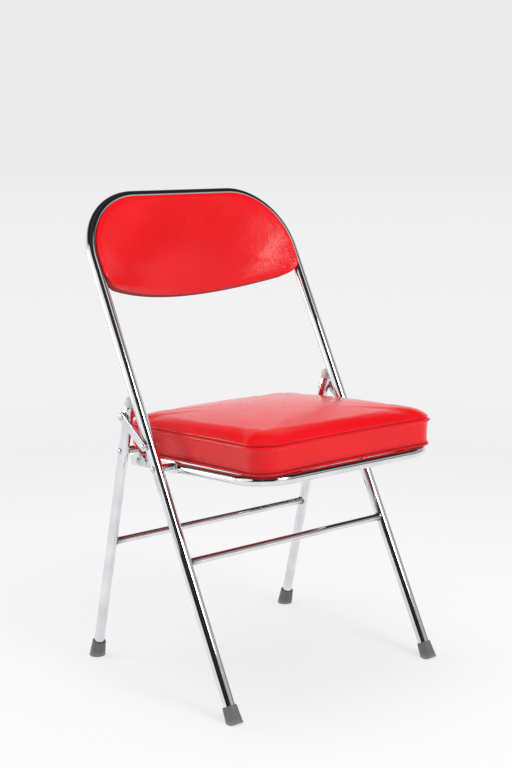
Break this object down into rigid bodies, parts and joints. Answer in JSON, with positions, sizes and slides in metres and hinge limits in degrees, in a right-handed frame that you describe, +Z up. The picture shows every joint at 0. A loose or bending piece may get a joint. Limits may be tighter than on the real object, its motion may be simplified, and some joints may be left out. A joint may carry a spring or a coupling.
{
  "type": "folding chair",
  "caption": "Folding chair of chromed steel tube with a padded red vinyl seat and a dished, padded back inside a rounded bow; seat, rear legs and side links fold together.",
  "frame": {"origin": "on the floor, below the middle of the chair's bounding box", "axes": "+Z up, the sitter faces -Y, +X is the sitter's left"},
  "size_m": [0.4622, 0.4594, 0.7854],
  "materials": {
    "chrome_tube": "polished chrome plating",
    "zinc": "zinc-plated steel",
    "red_vinyl": "glossy red vinyl over foam, fine grain",
    "vinyl_shell": "red vinyl stretched over board",
    "grey_rubber": "dull dark grey rubber",
    "pale_plastic": "pale moulded plastic"
  },
  "bodies": {
    "front_frame": {"back_pad": "red_vinyl", "back_screw_side_left": "zinc", "back_screw_side_right": "zinc", "back_screw_top_left": "zinc", "back_screw_top_right": "zinc", "back_shell": "vinyl_shell", "back_tab_side_left": "chrome_tube", "back_tab_side_right": "chrome_tube", "back_tab_top_left": "chrome_tube", "back_tab_top_right": "chrome_tube", "front_foot_left": "grey_rubber", "front_foot_right": "grey_rubber", "front_stretcher": "chrome_tube", "link_pivot_rivet_left": "zinc", "link_pivot_rivet_right": "zinc", "link_pivot_washer_left": "zinc", "link_pivot_washer_right": "zinc", "main_frame_tube": "chrome_tube", "seat_pivot_rivet_left": "zinc", "seat_pivot_rivet_right": "zinc", "seat_pivot_spacer_left": "zinc", "seat_pivot_spacer_right": "zinc"},
    "seat": {"rear_pivot_rivet_left": "zinc", "rear_pivot_rivet_right": "zinc", "rear_pivot_spacer_left": "zinc", "rear_pivot_spacer_right": "zinc", "seat_board": "vinyl_shell", "seat_cross_bar": "chrome_tube", "seat_cushion": "red_vinyl", "seat_ear_left": "chrome_tube", "seat_ear_right": "chrome_tube", "seat_ear_rivet_left": "zinc", "seat_ear_rivet_right": "zinc", "seat_frame_tube": "chrome_tube", "seat_screw_front_left": "zinc", "seat_screw_front_right": "zinc", "seat_screw_rear_left": "zinc", "seat_screw_rear_right": "zinc", "seat_tab_front_left": "chrome_tube", "seat_tab_front_right": "chrome_tube", "seat_tab_rear_left": "chrome_tube", "seat_tab_rear_right": "chrome_tube"},
    "rear_legs": {"link_top_pin_left": "zinc", "link_top_pin_right": "zinc", "rear_foot_left": "grey_rubber", "rear_foot_right": "grey_rubber", "rear_leg_left": "chrome_tube", "rear_leg_plug_left": "pale_plastic", "rear_leg_plug_right": "pale_plastic", "rear_leg_right": "chrome_tube", "rear_stretcher": "chrome_tube"},
    "link_left": {"link_left": "chrome_tube", "link_top_rivet_left": "zinc"},
    "link_right": {"link_right": "chrome_tube", "link_top_rivet_right": "zinc"}
  },
  "joints": [
    {"name": "seat_fold", "type": "hinge", "parent": "front_frame", "child": "seat", "pos_m": [0, 0.00036, 0.36058], "axis": [-1, 0, 0], "range_deg": [0, 113.02]},
    {"name": "rear_leg_fold", "type": "hinge", "parent": "seat", "child": "rear_legs", "pos_m": [0, 0.09261, 0.37417], "axis": [-1, 0, 0], "range_deg": [-72.2, 0]},
    {"name": "link_fold_left", "type": "hinge", "parent": "front_frame", "child": "link_left", "pos_m": [0, 0.01864, 0.3951], "axis": [-1, 0, 0], "range_deg": [0, 134]},
    {"name": "link_fold_right", "type": "hinge", "parent": "front_frame", "child": "link_right", "pos_m": [0, 0.01864, 0.3951], "axis": [-1, 0, 0], "range_deg": [0, 134]}
  ],
  "couplings": [
    {"joint": "rear_leg_fold", "follows": "seat_fold", "ratio": -0.63851},
    {"joint": "link_fold_left", "follows": "seat_fold", "ratio": 1.1848},
    {"joint": "link_fold_right", "follows": "seat_fold", "ratio": 1.1848}
  ]
}
